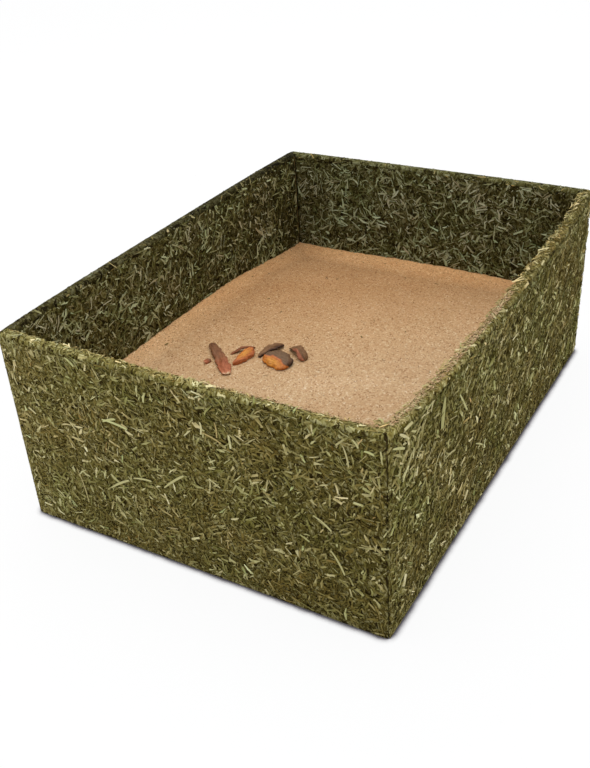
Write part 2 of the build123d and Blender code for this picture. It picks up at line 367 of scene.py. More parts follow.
# Five shapes of blade, each one unit long and one wide: three straight and two bowed. The sixth
# shape is a sliver of chaff, a flat pointed splinter with only four faces.
shapes = []
for bow, taper, bends in (
    (0.0, 0.5, 1), (0.0, 0.2, 1), (0.0, 0.35, 1), (0.05, 0.6, 2), (-0.10, 0.45, 2), (0.0, 0.0, 0),
):
    if bends:
        stick = add("MeshCylinder", {
            "Vertices": 3, "Side Segments": bends, "Fill Segments": 1, "Radius": 0.5, "Depth": 1.0,
        }, fill_type="NGON")
    else:
        stick = add("MeshCone", {
            "Vertices": 3, "Side Segments": 1, "Fill Segments": 1, "Radius Top": 0.0, "Radius Bottom": 0.58,
            "Depth": 1.0,
        }, fill_type="NGON")
        stick = add("Transform", stick, {"Translation": (0, 0, -0.5)})
    stick = add("Transform", stick, {"Rotation": (0, pi / 2, 0)})
    at = add("SeparateXYZ", add("InputPosition")).node.outputs
    squared = add("Math MULTIPLY", at["X"], at["X"])
    for label, value in (
        ("run", add("Math ADD", at["X"], 0.5)), ("side", add("Math ADD", at["Y"], 0.5)),
        ("sag", add("Math MULTIPLY_ADD", squared, -4 * bow, bow)),
    ):
        stick = add("StoreNamedAttribute", stick, True, label, value)
    narrowed = add("Math MULTIPLY_ADD", squared, -4 * taper, 1.0)
    section = add("CombineXYZ", 1.0, narrowed, narrowed)
    stick = add("SetPosition", stick, True, add("VectorMath MULTIPLY", add("InputPosition"), section))
    shapes.append(add("GeometryToInstance", stick))
joined = add("JoinGeometry")
for shape in reversed(shapes):
    chopped_tree.links.new(shape, joined.node.inputs[0])


def random_numbers(add, seed, uses):
    """A random number for each blade and each use: the use's number, and its lowest and highest."""
    return {
        use: add("RandomValue", {
            "Min": lowest, "Max": highest, "Seed": add("Math MULTIPLY_ADD", seed, 97.0, number),
        })
        for use, (number, lowest, highest) in uses.items()
    }


draw = random_numbers(add, given["Seed"], {
    "size": (1, 0.0, 1.0), "heading": (2, -2.0, 2.0), "pitch": (3, -1.0, 1.0), "along": (4, -1.0, 1.0),
    "across": (5, 0.0, 1.0), "layer": (6, 0.0, 0.35), "width": (7, 0.6, 1.45), "roll": (8, -0.7, 0.7),
    "pale": (9, 0.0, 1.0), "tint": (10, -0.12, 0.12), "rust": (11, 0.0, 1.0), "blue": (12, 0.0, 1.0),
    "left out": (14, 0.0, 1.0),
})
# Their places. A blade near an edge is moved in by its own reach, so that none hangs over it.
size_draw = add("Math POWER", draw["size"], 2.9)
blade_length = add("MapRange", size_draw, 0, 1, given["Shortest"], given["Longest"])
half_blade = add("Math MULTIPLY", blade_length, 0.5)
rough_place = add(
    "CombineXYZ", add("Math MULTIPLY", draw["along"], given["Half run"]),
    add("MapRange", draw["across"], 0, 1, given["Bottom"], given["Top"]), given["Seed"],
)
drift_mm, thin_mm, patch_mm, tint_mm = 10, 11, 30, 34
drift = add("TexNoise", rough_place, 1 / (drift_mm * mm), 0.0)
thin, patch, hue = (
    add("TexNoise", rough_place, offset, 1 / (size_mm * mm), 1.0, noise_dimensions="4D")
    for offset, size_mm in ((5.0, thin_mm), (9.0, patch_mm), (13.0, tint_mm))
)
direction = add("Math MULTIPLY_ADD", drift, 14.0, draw["heading"])
reach_x, reach_y = (
    add("Math MULTIPLY", half_blade, add("Math ABSOLUTE", add(f"Math {wave}", direction)))
    for wave in ("COSINE", "SINE")
)
x = add("Math MULTIPLY", draw["along"], add("Math SUBTRACT", given["Half run"], reach_x))
y_least, y_most = add("Math ADD", given["Bottom"], reach_y), add("Math SUBTRACT", given["Top"], reach_y)
y = add("MapRange", draw["across"], 0, 1, y_least, y_most, clamp=False)
pitch = add("Math MULTIPLY", draw["pitch"], given["Tilt"])
lift = add("Math MULTIPLY", half_blade, add("Math ABSOLUTE", add("Math SINE", pitch)))
# The palest blades are the last ones on, so they lie highest
z = add("Math MULTIPLY_ADD", add("Math ADD", draw["layer"], draw["pale"]), given["Pile"], lift)
spots = add("Points", given["Blades"], add("CombineXYZ", x, y, z))
# The palest are also the widest, but none is wider than a share of its length
widest_share = 0.42
wider = add("Math MULTIPLY_ADD", add("Math POWER", draw["pale"], 6.0), 0.5, 0.9)
blade_width = add("Math MULTIPLY", add("Math MULTIPLY", given["Width"], draw["width"]), wider)
blade_width = add("Math MINIMUM", blade_width, add("Math MULTIPLY", blade_length, widest_share))
turn = add("CombineXYZ", draw["roll"], pitch, direction)
level_sag = add("CombineXYZ", {"Y": blade_length})
sag_way = add("VectorRotate", level_sag, {"Rotation": turn}, rotation_type="EULER_XYZ")
# Shade: mostly olive, a few pale, paler for the long ones, and darker in patches. Tint: by patch.
olive_share = add("Math MULTIPLY_ADD", draw["pale"], 0.15, 0.08)
shade = add("Math MULTIPLY_ADD", add("Math POWER", draw["pale"], 10.0), 0.56, olive_share)
shade = add("Math MULTIPLY_ADD", size_draw, 0.22, shade)
shade = add("Math MULTIPLY", shade, add("MapRange", patch, 0.44, 0.62, 1.05, 0.78))
shade = add("MapRange", shade, 0, 1, given["Darkest"], given["Palest"])
# Paler towards one end of the wall and darker towards the other: painted light and shade
shade = add("Math MULTIPLY_ADD", draw["along"], given["Bleach"], shade)
tint = add("Math ADD", add("MapRange", hue, 0.3, 0.7, 0.3, 0.66), draw["tint"])
tint = add("Math ADD", tint, given["Warmth"])
for use, way in (("rust", 0.42), ("blue", -0.5)):
    tint = add("Math MULTIPLY_ADD", add("Math POWER", draw[use], 45.0), way, tint)
for label, value in (
    ("shade", add("Clamp", shade)), ("tint", add("Clamp", tint)), ("fresh", given["Fresh"]),
    ("lift", given["Lift"]),
):
    spots = add("StoreNamedAttribute", spots, True, label, value)
spots = add("StoreNamedAttribute", spots, True, "sag_way", sag_way, data_type="FLOAT_VECTOR")
# Fewer of them where the drifts are thin
kept_share = add("MapRange", thin, 0.36, 0.60, 0.55, 1.0)
stays = add("BooleanMath NOT", add("Math GREATER_THAN", draw["left out"], kept_share))
pick = add("RandomValue", {
    "Min": given["First shape"], "Max": given["Last shape"], "Seed": given["Seed"],
}, data_type="INT")
size = add("CombineXYZ", blade_length, blade_width, add("Math MULTIPLY", blade_width, 0.5))
real = add("RealizeInstances", add("InstanceOnPoints", spots, stays, joined, True, pick, turn, size))
kept = {label: add("InputNamedAttribute", label) for label in ("shade", "tint", "run", "side", "sag")}
kept_sag_way = add("InputNamedAttribute", "sag_way", data_type="FLOAT_VECTOR")
real = add("SetPosition", real, {"Offset": add("VectorMath SCALE", kept_sag_way, kept["sag"])})
# A blade is darker towards one end
shade = add("Math ADD", kept["shade"], add("Math MULTIPLY_ADD", kept["run"], 0.12, -0.12))
real = add("StoreNamedAttribute", real, True, "shade", add("Clamp", shade))
# The bake's own map is a palette: shade goes one way over it and tint the other
palette_v = add("Math MULTIPLY_ADD", kept["side"], 0.02, 0.005)
palette = add(
    "CombineXYZ", add("Math MULTIPLY_ADD", kept["shade"], 0.98, 0.005),
    add("Math MULTIPLY_ADD", kept["tint"], 0.96, palette_v),
)
real = add("StoreNamedAttribute", real, True, "OFBake", palette, data_type="FLOAT2", domain="CORNER")
add("GroupOutput", add("SetMaterial", real, True, blade))

corner_radius = 2.0 * mm


def round_corners(piece):
    """Round the box's four upright edges where this piece comes round them."""
    def rounded(x, y, z):
        past_x = np.clip(np.abs(x) - (half_length - corner_radius), 0, None)
        past_y = np.clip(np.abs(y) - (half_width - corner_radius), 0, None)
        drawn_in = np.maximum(past_x, past_y) / np.maximum(np.hypot(past_x, past_y), 1e-9)
        drawn_in = np.where((past_x > 0) & (past_y > 0), 1 - drawn_in, 0)
        return x - np.sign(x) * past_x * drawn_in, y - np.sign(y) * past_y * drawn_in, z

    move_points(piece, rounded)


# How the hay's colour is painted on the outside, the inside and the rim of each wall: how cool it is,
# its lift, how much paler it is painted towards one end of the wall, and how pale its palest blades
# are. Inside the box and on the two far rims it is cooler and darker: painted shade
age = {
    "outer": {
        "front": (0.0, 0.02, -0.02, 1.0), "right": (0.0, 0.0, 0.0, 1.0),
        "back": (0.0, 0.0, 0.0, 1.0), "left": (0.0, 0.01, -0.06, 1.0),
    },
    "inner": {
        "front": (0.4, -0.30, 0.0, 1.6), "right": (0.6, -0.38, 0.0, 3.2),
        "back": (0.15, -0.36, -0.10, 2.6), "left": (0.4, -0.30, 0.0, 1.6),
    },
    "rim": {
        "front": (0.4, 0.0, -0.13, 0.95), "right": (1.0, -0.31, 0.0, 1.0),
        "back": (0.4, -0.70, 0.06, 1.2), "left": (0.8, 0.52, 0.0, 0.9),
    },
}
blades_per_mm2, slivers_per_mm2, inside_share = 0.25, 0.48, 0.85
sliver = {"Shortest": 1.7 * mm, "Longest": 5.2 * mm, "Width": 1.3 * mm, "First shape": 5, "Last shape": 5}
mat_cell = 4 * mm
for seed, wall in enumerate(walls):
    outer_half, inner_half = half_run[wall] - mitre_setback, half_run[wall] - wall_thickness - mitre_setback
    inner_thickness = wall_thickness - core_end
    layers = (
        ("outer", out_face, outer_half, core_start, 1.0, 0.0, 1.0, 9.5 * mm, 1.25 * mm),
        ("inner", in_face, inner_half, inner_thickness, -1.0, 50 * mm, inside_share, 11 * mm, 1.15 * mm),
    )
    for side, facing, half_face, thickness, mitre, blades_from, share, longest, width in layers:
        fresh, lift, bleach, palest = age[side][wall]
        aging = {"Fresh": fresh, "Lift": lift, "Bleach": bleach}
        mat = grown(f"{wall}_wall_{side}_mat", mat_tree, {
            "Half run": half_face, "Top": board_height, "Thickness": thickness,
            "Cells along": int(2 * half_run[wall] / mat_cell), "Cells across": int(board_height / mat_cell),
            "Mitre through": mitre, **aging,
        })
        covered = 2 * half_face * (box_height - blades_from) / mm ** 2
        place = {
            "Half run": half_face - 0.6 * mm, "Bottom": blades_from + 1.3 * mm,
            "Top": box_height - 1.6 * mm, "Darkest": 0.26 * (1 - palest),
            # Inside the box the blades are also tinted cooler, with the painted shade there
            "Warmth": -0.12 if side == "inner" else 0.0, "Seed": 10 * seed + (side == "inner"), **aging,
        }
        hay = grown(f"{wall}_wall_{side}_blades", chopped_tree, {
            **place, "Blades": int(covered * blades_per_mm2 * share), "Longest": longest, "Width": width,
            "Palest": palest,
        })
        chaff = grown(f"{wall}_wall_{side}_chaff", chopped_tree, {
            **place, **sliver, "Blades": int(covered * slivers_per_mm2 * share), "Tilt": 0.17,
            "Palest": 0.85 * palest,
        })
        for piece, *nodes in ((mat, f"{wall}_wall_{side}_hay"), (hay,), (chaff,)):
            stand_in_wall(piece, wall, facing)
            if side == "outer":
                round_corners(piece)
            on_box(piece, "pressed_hay", *nodes)

# The two near walls are rubbed pale along the top, and thick straw shows at the corner
edge_blades_per_mm = 4.2
for wall, from_corner, way, seed in (("left", 34 * mm, 1, 81), ("front", 26 * mm, -1, 82)):
    straw = grown(f"{wall}_wall_loose_straw", chopped_tree, {
        "Half run": from_corner - 4 * mm, "Bottom": 98 * mm, "Top": box_height - 2 * mm, "Blades": 64,
        "Shortest": 4 * mm, "Longest": 9 * mm, "Width": 1.7 * mm, "Tilt": 0.12, "Pile": 1.3 * mm,
        "Darkest": 0.34, "Palest": 0.85, "Seed": seed,
    })
    stand_in_wall(straw, wall, Matrix.Translation((way * (half_run[wall] - from_corner), 0, 0)) @ out_face)
    edge_hay = grown(f"{wall}_wall_worn_edge", chopped_tree, {
        "Half run": half_run[wall] - 4 * mm, "Bottom": box_height - 9 * mm, "Top": box_height - 0.7 * mm,
        "Blades": int(edge_blades_per_mm * half_run[wall] / mm), "Longest": 6 * mm, "Width": 1.3 * mm,
        "Pile": 1.2 * mm, "Darkest": 0.16, "Palest": 0.9, "Fresh": 0.4, "Bleach": -0.05 * way,
        "Seed": seed + 2,
    })
    stand_in_wall(edge_hay, wall, out_face)
    for piece in (straw, edge_hay):
        round_corners(piece)
        on_box(piece, "pressed_hay")
tuft = grown("near_corner_straw", chopped_tree, {
    "Half run": 6 * mm, "Bottom": -6 * mm, "Top": 6 * mm, "Blades": 46, "Shortest": 4 * mm,
    "Longest": 8 * mm, "Width": 1.2 * mm, "Tilt": 0.15, "Pile": 1.0 * mm, "Darkest": 0.36, "Palest": 0.95,
    "Warmth": 0.2, "Seed": 83,
})
tuft.data.transform(Matrix.Translation((
    wall_thickness - half_length, wall_thickness - half_width, box_height - 0.8 * mm,
)))
on_box(tuft, "rim_hay")

# Down each upright corner a few blades lie over the open seam between the two boards
seam_hay_inset = 1.3 * mm
for seed, wall in enumerate(walls):
    bridges = grown(f"{wall}_corner_blades", chopped_tree, {
        "Half run": 0.7 * mm, "Bottom": 3 * mm, "Top": box_height - 2 * mm, "Blades": 56,
        "Shortest": 2.6 * mm, "Longest": 7 * mm, "Pile": 0.3 * mm, "Seed": 30 + seed,
    })
    corner_place = Matrix.Translation((seam_hay_inset - half_run[wall], seam_hay_inset - reach[wall], 0))
    bridges.data.transform(corner_place @ Matrix.Rotation(radians(-45), 4, "Z") @ out_face)
    bridges.data.transform(wall_turn[wall])
    on_box(bridges, "pressed_hay")

# Whole stalks and flat leaves stand out among the chopped blades. Each has its place along its wall
# and up it, its turn in degrees, its length and width, all in millimetres, its shade and its tint.
bold_stems = {
    "left": (
        (-48, 104, -6, 20, 1.8, 0.72, 0.25), (-52, 106, 24, 12, 1.7, 0.67, 0.3),
        (27, 116, -17, 14, 1.2, 0.52, 0.84), (31, 123, -88, 11, 1.1, 0.49, 0.84),
        (20, 121, -93, 9, 1.5, 0.72, 0.45), (-88, 42, -81, 28, 1, 0.53, 0.6),
        (-53, 55, 34, 20, 1.7, 0.65, 0.4), (-33, 65, 9, 15, 1.5, 0.65, 0.4),
        (-7, 72, 41, 23, 1.6, 0.62, 0.4), (99, 77, -34, 14, 1.5, 0.63, 0.4),
        (108, 50, -62, 18, 1.5, 0.59, 0.4), (-76, 143, -39, 8, 1.9, 0.62, 0.3),
        (116, 130, -77, 14, 1.1, 0.58, 0.5), (130, 136, -11, 6, 1.6, 0.65, 0.25),
        (122, 140, -54, 6, 1.4, 0.62, 0.4),
    ),
    "front": (
        (-132, 129, -91, 21, 4.4, 0.5, 0.35), (-101, 118, -52, 26, 1.7, 0.63, 0.35),
        (-179, 141, -42, 13, 1.8, 0.72, 0.5), (-124, 93, 83, 8, 1.1, 0.57, 0.5),
        (-115, 88, -11, 16, 1.4, 0.59, 0.5), (-184, 136, -28, 12, 1.8, 0.63, 0.35),
        (-135, 96, 59, 11, 1.1, 0.58, 0.5), (-152, 144, 30, 9, 1.2, 0.72, 0.55),
        (-148, 143, 65, 7, 1.1, 0.72, 0.55), (-157, 142, -8, 9, 1.2, 0.69, 0.55),
        (-172, 120, 70, 12, 1.3, 0.59, 0.45), (-60, 60, -35, 18, 1.3, 0.61, 0.4),
    ),
}
stem_height, stem_rings, stem_sides = 1.3 * mm, 9, 6


def tube_faces(rings, around, first=0):
    """The faces of a closed tube, from rings of points that are numbered on from the first."""
    grid = first + np.arange(rings * around).reshape(rings, around)
    beside = np.roll(grid, -1, 1)
    sides = np.stack([grid[:-1], grid[1:], beside[1:], beside[:-1]], 2).reshape(-1, 4)
    return sides.tolist() + [grid[0].tolist(), grid[-1, ::-1].tolist()]


for wall, stems in bold_stems.items():
    points, faces, shades, tints = [], [], [], []
    for along, up_wall, turn, length, width, shade, tint in stems:
        s = np.linspace(-1, 1, stem_rings)[:, None]
        angle = np.linspace(0, 2 * pi, stem_sides, endpoint=False)[None, :]
        half = width / 2 * (1 - 0.35 * s ** 2 + 0.12 * s)
        x = s * length / 2 * np.ones_like(angle)
        y = half * np.cos(angle) + 0.02 * length * (1 - s ** 2)
        z = 0.28 * half * np.sin(angle) + 0.4 * s ** 2
        cos_turn, sin_turn = cos(radians(turn)), sin(radians(turn))
        x, y = along + cos_turn * x - sin_turn * y, up_wall + sin_turn * x + cos_turn * y
        faces += tube_faces(stem_rings, stem_sides, len(points))
        points += (np.stack([x, y, z], 2).reshape(-1, 3) * mm + (0, 0, stem_height)).tolist()
        # The underside of each stem, towards the mat, is 0.10 darker: painted shade
        shades += (shade - 0.10 * (np.sin(angle[0]) < 0)).tolist() * stem_rings
        tints += [tint] * stem_rings * stem_sides
    stems_piece = new_piece(f"{wall}_wall_stems", points, faces)
    for label, values in (("shade", shades), ("tint", tints)):
        stems_piece.data.attributes.new(label, "FLOAT", "POINT").data.foreach_set("value", values)
    stems_piece.data.materials.append(blade)
    stand_in_wall(stems_piece, wall, out_face)
    on_box(stems_piece, "pressed_hay")

# The rims: a strip of the same felted hay, folded over each board's top edge and cut to a mitre
# at the corners. Its long edges are round and worn, and pale strands stick out over the inside.
# Two of the rims are rubbed loose, where an animal climbs in.
rim_rounding, rim_cell = 2.2 * mm, 3 * mm
rim_blades_per_mm2, rim_slivers_per_mm2 = 0.42, 0.7
fringe_per_mm = {"front": 3.0, "right": 0.2, "back": 0.2, "left": 1.6}
looseness = {"front": 1.0, "right": 0.3, "back": 0.3, "left": 1.0}


def folded_over(x, y, z):
    """Where a rim's points go as it bends down over both long edges of the wall it lies on."""
    short_of = np.clip(rim_rounding - np.minimum(y, wall_thickness - y), 0, rim_rounding)
    return x, y, z - rim_rounding + np.sqrt(rim_rounding ** 2 - short_of ** 2)


for seed, wall in enumerate(walls):
    fresh, lift, bleach, palest = age["rim"][wall]
    loose = looseness[wall]
    aging = {"Fresh": fresh, "Lift": lift, "Bleach": bleach}
    rim = grown(f"{wall}_rim_mat", mat_tree, {
        "Half run": half_run[wall] - mitre_setback, "Top": wall_thickness,
        "Thickness": box_height - board_height, "Cells along": int(2 * half_run[wall] / rim_cell),
        "Cells across": 15, "Mitre across": -1.0, "Lump height": 0.8 * mm, "Lump size": 6 * mm, **aging,
        "Fresh": fresh * (1 - 0.6 * loose), "Lift": min(lift, 0.4 * lift),
    })
    covered = 2 * half_run[wall] * wall_thickness / mm ** 2
    place = {
        "Half run": half_run[wall] - 3 * mm, "Bottom": 0.0, "Top": wall_thickness + 0.4 * mm,
        "Seed": 40 + seed, "Darkest": 0.10, "Palest": palest, "Pile": 0.7 * mm * loose,
        "Warmth": 0.25 * loose, **aging,
    }
    rim_hay = grown(f"{wall}_rim_blades", chopped_tree, {
        **place, "Blades": int(covered * rim_blades_per_mm2), "Longest": 8 * mm, "Tilt": 0.1 * loose,
        "Last shape": 2,
    })
    rim_chaff = grown(f"{wall}_rim_chaff", chopped_tree, {
        **place, **sliver, "Blades": int(covered * rim_slivers_per_mm2), "Tilt": 0.22 * loose,
    })
    fringe = grown(f"{wall}_rim_fringe", chopped_tree, {
        "Half run": half_run[wall] - wall_thickness, "Bottom": wall_thickness - 4 * mm,
        "Top": wall_thickness + 3 * mm, "Blades": int(half_run[wall] / mm * fringe_per_mm[wall]),
        "Shortest": 3 * mm, "Longest": 8 * mm, "Tilt": 0.4, "Pile": 1.0 * mm, "Darkest": 0.35,
        "Palest": 1.0, "Warmth": 0.22, "Seed": 50 + seed, "Lift": lift / 2,
    })
    for piece, drop, *nodes in (
        (rim, 0.0, f"{wall}_rim_hay"), (rim_hay, 0.4 * mm), (rim_chaff, 0.4 * mm), (fringe, 0.6 * mm),
    ):
        move_points(piece, folded_over)
        stand_in_wall(piece, wall, Matrix.Translation((0, 0, box_height - drop)))
        round_corners(piece)
        on_box(piece, "rim_hay", *nodes)

# The board inside each wall: hardboard, steam pressed from wood fibres, cut to a mitre at both
# ends. It is bowed with its wall, so it replaces the flat solid.
hardboard, add = new_material("pressed_wood_fibre_board")
place_mm = add("VectorMath SCALE", add("TexCoord", output="Object"), 1 / mm)
board_fibre_mm, board_cloud_mm = 1.2, 18
fibres = add("TexNoise", place_mm, 1 / board_fibre_mm, 3.0, {"Distortion": 1.2})
clouds = add("TexNoise", place_mm, 1 / board_cloud_mm, 2.0)
mixed = add("Math MULTIPLY_ADD", fibres, 0.6, add("Math MULTIPLY", clouds, 0.4))
colour = add("ValToRGB", mixed, stops=((0.34, "#6e4f34"), (0.5, "#8a6746"), (0.66, "#a5845f")))
finish(add, colour, 0.8, relief=(fibres, 0.1 * mm, 0.5))

for wall in walls:
    board = grown(f"{wall}_wall_board", mat_tree, {
        "Half run": half_run[wall] - core_start - mitre_setback, "Top": board_height,
        "Thickness": core_end - core_start, "Cells along": 30, "Cells across": 12,
        "Mitre through": 1.0, "Lump height": 0.0,
    }, hardboard)
    stand_in_wall(board, wall, Matrix.Translation((0, core_start, 0)) @ out_face)
    on_box(board, "core_board", f"{wall}_wall_core")

# The floor: a board of the same hardboard with hay mats above and below, and a line of glue round
# its edge. The sand hides the upper mat, and the lower one shows with the box turned over.
glue, add = new_material("dried_wood_glue")
glue_run_mm = 2.5
place_mm = add("VectorMath SCALE", add("TexCoord", output="Object"), 1 / mm)
runs = add("TexNoise", place_mm, 1 / glue_run_mm, 2.0)
colour = add("ValToRGB", runs, stops=((0.35, "#a98a4e"), (0.65, "#d2b879")))
finish(add, colour, 0.3, relief=(runs, 0.3 * mm, 0.5))

for name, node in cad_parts.items():
    if "glue" in name or name == "floor_core":
        node.data.materials.clear()
        node.data.materials.append(hardboard if name == "floor_core" else glue)

underside_drop, underside_blades_per_mm2 = 1.6 * mm, 0.11
floor_mats = {
    "floor_top_hay": (Matrix.Identity(4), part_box("floor_top_hay")[1].z, 0.0),
    "floor_underside_hay": (Matrix.Rotation(pi, 4, "X"), -underside_drop, underside_drop),
}
for node, (facing, face, thinned) in floor_mats.items():
    low_corner, high_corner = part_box(node)
    mat = grown(node.replace("hay", "mat"), mat_tree, {
        "Half run": high_corner.x, "Bottom": low_corner.y, "Top": high_corner.y,
        "Thickness": high_corner.z - low_corner.z - thinned, "Cells along": 90, "Cells across": 64,
    })
    mat.data.transform(facing @ Matrix.Translation((0, 0, face)))
    on_box(mat, "floor_hay", node)
covered = 4 * high_corner.x * high_corner.y / mm ** 2
underside_hay = grown("floor_underside_blades", chopped_tree, {
    "Half run": high_corner.x, "Bottom": low_corner.y, "Top": high_corner.y,
    "Blades": int(covered * underside_blades_per_mm2), "Tilt": 0.05, "Pile": 0.25 * mm, "Seed": 60,
})
underside_hay.data.transform(Matrix.Rotation(pi, 4, "X") @ Matrix.Translation((0, 0, -underside_drop)))
on_box(underside_hay, "floor_hay")

# The digging sand: dry, washed, fine sand, poured in to half the height of the walls. It lies
# level at the left, falls away to the right, and keeps the low ripples left by pouring.
treats = (
    "long_root_strip", "root_stub", "thin_root_curl", "root_wedge", "dark_root_strip", "root_end_slice",
    "bent_root_curl",
)
sand_high_level, sand_fall, sand_fall_start, sand_fall_run = 73.5 * mm, 13 * mm, 30 * mm, 165 * mm
ripple_height, ripple_length, ripple_width = 0.8 * mm, 150 * mm, 190 * mm


def sand_level(x, y):
    """Height of the sand's smooth surface, as in the model: level, then falling, with ripples."""
    along_fall = np.clip((x - sand_fall_start) / sand_fall_run, 0, 1)
    fallen = sand_fall * (1 - np.cos(pi * along_fall)) / 2
    ripple = np.sin(2 * pi * x / ripple_length) * np.cos(2 * pi * y / ripple_width)
    return sand_high_level - fallen + ripple_height * ripple


sand_cell = 1.25 * mm
sand_low, sand_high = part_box("sand_fill")
columns = int((sand_high.x - sand_low.x) / sand_cell)
rows = int((sand_high.y - sand_low.y) / sand_cell)
u, v = np.meshgrid(np.linspace(-1, 1, columns), np.linspace(-1, 1, rows))
x, y = u * sand_high.x, v * sand_high.y
level = sand_level(x, y)
x = x + np.abs(u) ** 8 * np.where(u > 0, wall_bulge("right", y, level), -wall_bulge("left", y, level))
y = y + np.abs(v) ** 8 * np.where(v > 0, wall_bulge("back", x, level), -wall_bulge("front", x, level))
# Small waves of many lengths roughen it, and single grains stand a little up or down
draws = np.random.default_rng(3)
rough = np.zeros_like(level)
for wave_mm, wave_height in ((45, 0.14), (28, 0.14), (17, 0.18), (11, 0.16), (7, 0.12), (4.5, 0.09)):
    for _ in range(3):
        way, start = draws.uniform(0, 2 * pi, 2)
        phase = (x * cos(way) + y * sin(way)) * 2 * pi / (wave_mm * mm) + start
        rough += wave_height * mm / 2 * np.sin(phase)
rough += draws.normal(0, 0.045 * mm, level.shape)
level = level + rough - 0.15 * mm
# The treats have settled in it, so that it meets their undersides
for node in treats:
    treat_low, treat_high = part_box(node)
    from_treat = np.hypot(
        (x - (treat_low.x + treat_high.x) / 2) / (treat_high.x - treat_low.x),
        (y - (treat_low.y + treat_high.y) / 2) / (treat_high.y - treat_low.y),
    )
    level += np.clip(treat_low.z + 0.1 * mm - level, 0, None) * np.exp(-(from_treat / 0.6) ** 4)

grid = np.arange(rows * columns).reshape(rows, columns)
edge = np.concatenate([grid[0], grid[1:, -1], grid[-1, -2::-1], grid[-2:0:-1, 0]])
points = np.stack([x, y, level], 2).reshape(-1, 3)
feet = points[edge] * (1, 1, 0) + (0, 0, sand_low.z)
faces = np.stack([grid[:-1, :-1], grid[:-1, 1:], grid[1:, 1:], grid[1:, :-1]], 2).reshape(-1, 4).tolist()
foot = len(points) + np.arange(len(edge))
next_edge, next_foot = np.roll(edge, -1), np.roll(foot, -1)
faces += np.stack([edge, foot, next_foot, next_edge], 1).tolist() + [foot[::-1].tolist()]
sand = new_piece("sand_surface", np.concatenate([points, feet]).tolist(), faces)
sand.data.polygons.foreach_set("use_smooth", [True] * len(faces))

# Washed quartz sand: tan in all, from grains between pale and rusty, with a few dark ones. Its
# grains are 0.2 to 0.5 mm, and are drawn 0.9 mm wide, because finer ones don't show.
quartz_sand, add = new_material("washed_quartz_sand")
grain_mm, sand_cloud_mm = 0.9, 30
place_mm = add("VectorMath SCALE", add("TexCoord", output="Object"), 1 / mm)
grains = add("TexVoronoi", place_mm, 1 / grain_mm, output="Color")
grain_draw = add("SeparateColor", grains).node.outputs
grain_colour = add("ValToRGB", grain_draw["Red"], stops=(
    (0.00, "#84603e"), (0.04, "#a37c57"), (0.12, "#be9a73"), (0.45, "#c9a780"),
    (0.80, "#cfae87"), (0.94, "#d9bf9b"), (1.00, "#e6d3b5"),
))
clouds = add("TexNoise", place_mm, 1 / sand_cloud_mm, 3.0)
cloud_colour = add("ValToRGB", clouds, stops=((0.35, "#f6f3ef"), (0.5, "#fafaf8"), (0.65, "#ffffff")))
# Towards the back right it is painted darker and redder: painted shade
to_back_right = add("VectorMath DOT_PRODUCT", place_mm, (0.8, 0.6, 0))
damp = add("MapRange", add("Math MULTIPLY_ADD", clouds, 40.0, to_back_right), -40.0, 120.0)
damp_colour = add("ValToRGB", damp, stops=((0.0, "#fbf9f7"), (0.5, "#efe5d9"), (1.0, "#dfccb6")))
colour = add("VectorMath MULTIPLY", add("VectorMath MULTIPLY", grain_colour, cloud_colour), damp_colour)
# Along the walls it is painted paler, most of all at the front and right: painted light, which lifts the
# shade the walls cast on it
drier_within = 34
wall_reach = (sand_high.x / mm - drier_within, sand_high.y / mm - drier_within, 1000)
from_middle = add("VectorMath ABSOLUTE", add("VectorMath ADD", place_mm, (2, -7, 0)))
into_edge = add("SeparateXYZ", add("VectorMath SUBTRACT", from_middle, wall_reach)).node.outputs
dry = add("Math MAXIMUM", into_edge["X"], into_edge["Y"])
dry = add("MapRange", dry, 0, drier_within, 1.0, 2.0)
finish(add, add("VectorMath SCALE", colour, dry), 0.95, 0.15, (grain_draw["Green"], 0.12 * mm, 0.5))
sand.data.materials.append(quartz_sand)
on_box(sand, "digging_sand", "sand_fill")

# Loose grains on the sand: the coarser ones, which lie on top after pouring
loose_grain, add = new_material("loose_quartz_grain")
colour = add("ValToRGB", add("Attribute", output="Fac", attribute_name="shade"), stops=(
    (0.00, "#46301f"), (0.04, "#6c4630"), (0.07, "#a2734f"), (0.13, "#bc936b"),
    (0.60, "#c8a57c"), (0.92, "#cfb089"), (1.00, "#dcc5a4"),
))
finish(add, colour, 0.7, 0.3)

grain_tree, add, given = tree_with("sand_grains", {
    "Grains per square metre": 120000.0, "Least": 0.0004, "Most": 0.0009, "Seed": 5,
}, "Grains")
grain = add("MeshUVSphere", {"Segments": 4, "Rings": 2, "Radius": 0.5})
at = add("SeparateXYZ", add("InputPosition")).node.outputs
for label, axis in (("side", "X"), ("run", "Z")):
    grain = add("StoreNamedAttribute", grain, True, label, add("Math ADD", at[axis], 0.5))
sand_top = add("ObjectInfo", {"Object": sand}, output="Geometry")
faces_up = add("Math GREATER_THAN", add("SeparateXYZ", add("InputNormal"), output="Z"), 0.7)
spots = add("DistributePointsOnFaces", {
    "Mesh": sand_top, "Selection": faces_up, "Density": given["Grains per square metre"],
    "Seed": given["Seed"],
})
draw = random_numbers(add, given["Seed"], {"shade": (1, 0.0, 1.0), "size": (2, 0.0, 1.0)})
spots = add("StoreNamedAttribute", spots, True, "shade", draw["shade"])
any_turn = add("RandomValue", {
    "Min": (-3.0, -3.0, -3.0), "Max": (3.0, 3.0, 3.0), "Seed": given["Seed"],
}, data_type="FLOAT_VECTOR")
grain_size = add("MapRange", add("Math POWER", draw["size"], 3.0), 0, 1, given["Least"], given["Most"])
real = add("RealizeInstances", add("InstanceOnPoints", {
    "Points": spots, "Instance": grain, "Rotation": any_turn, "Scale": grain_size,
}))
kept = {label: add("InputNamedAttribute", label) for label in ("shade", "side", "run")}
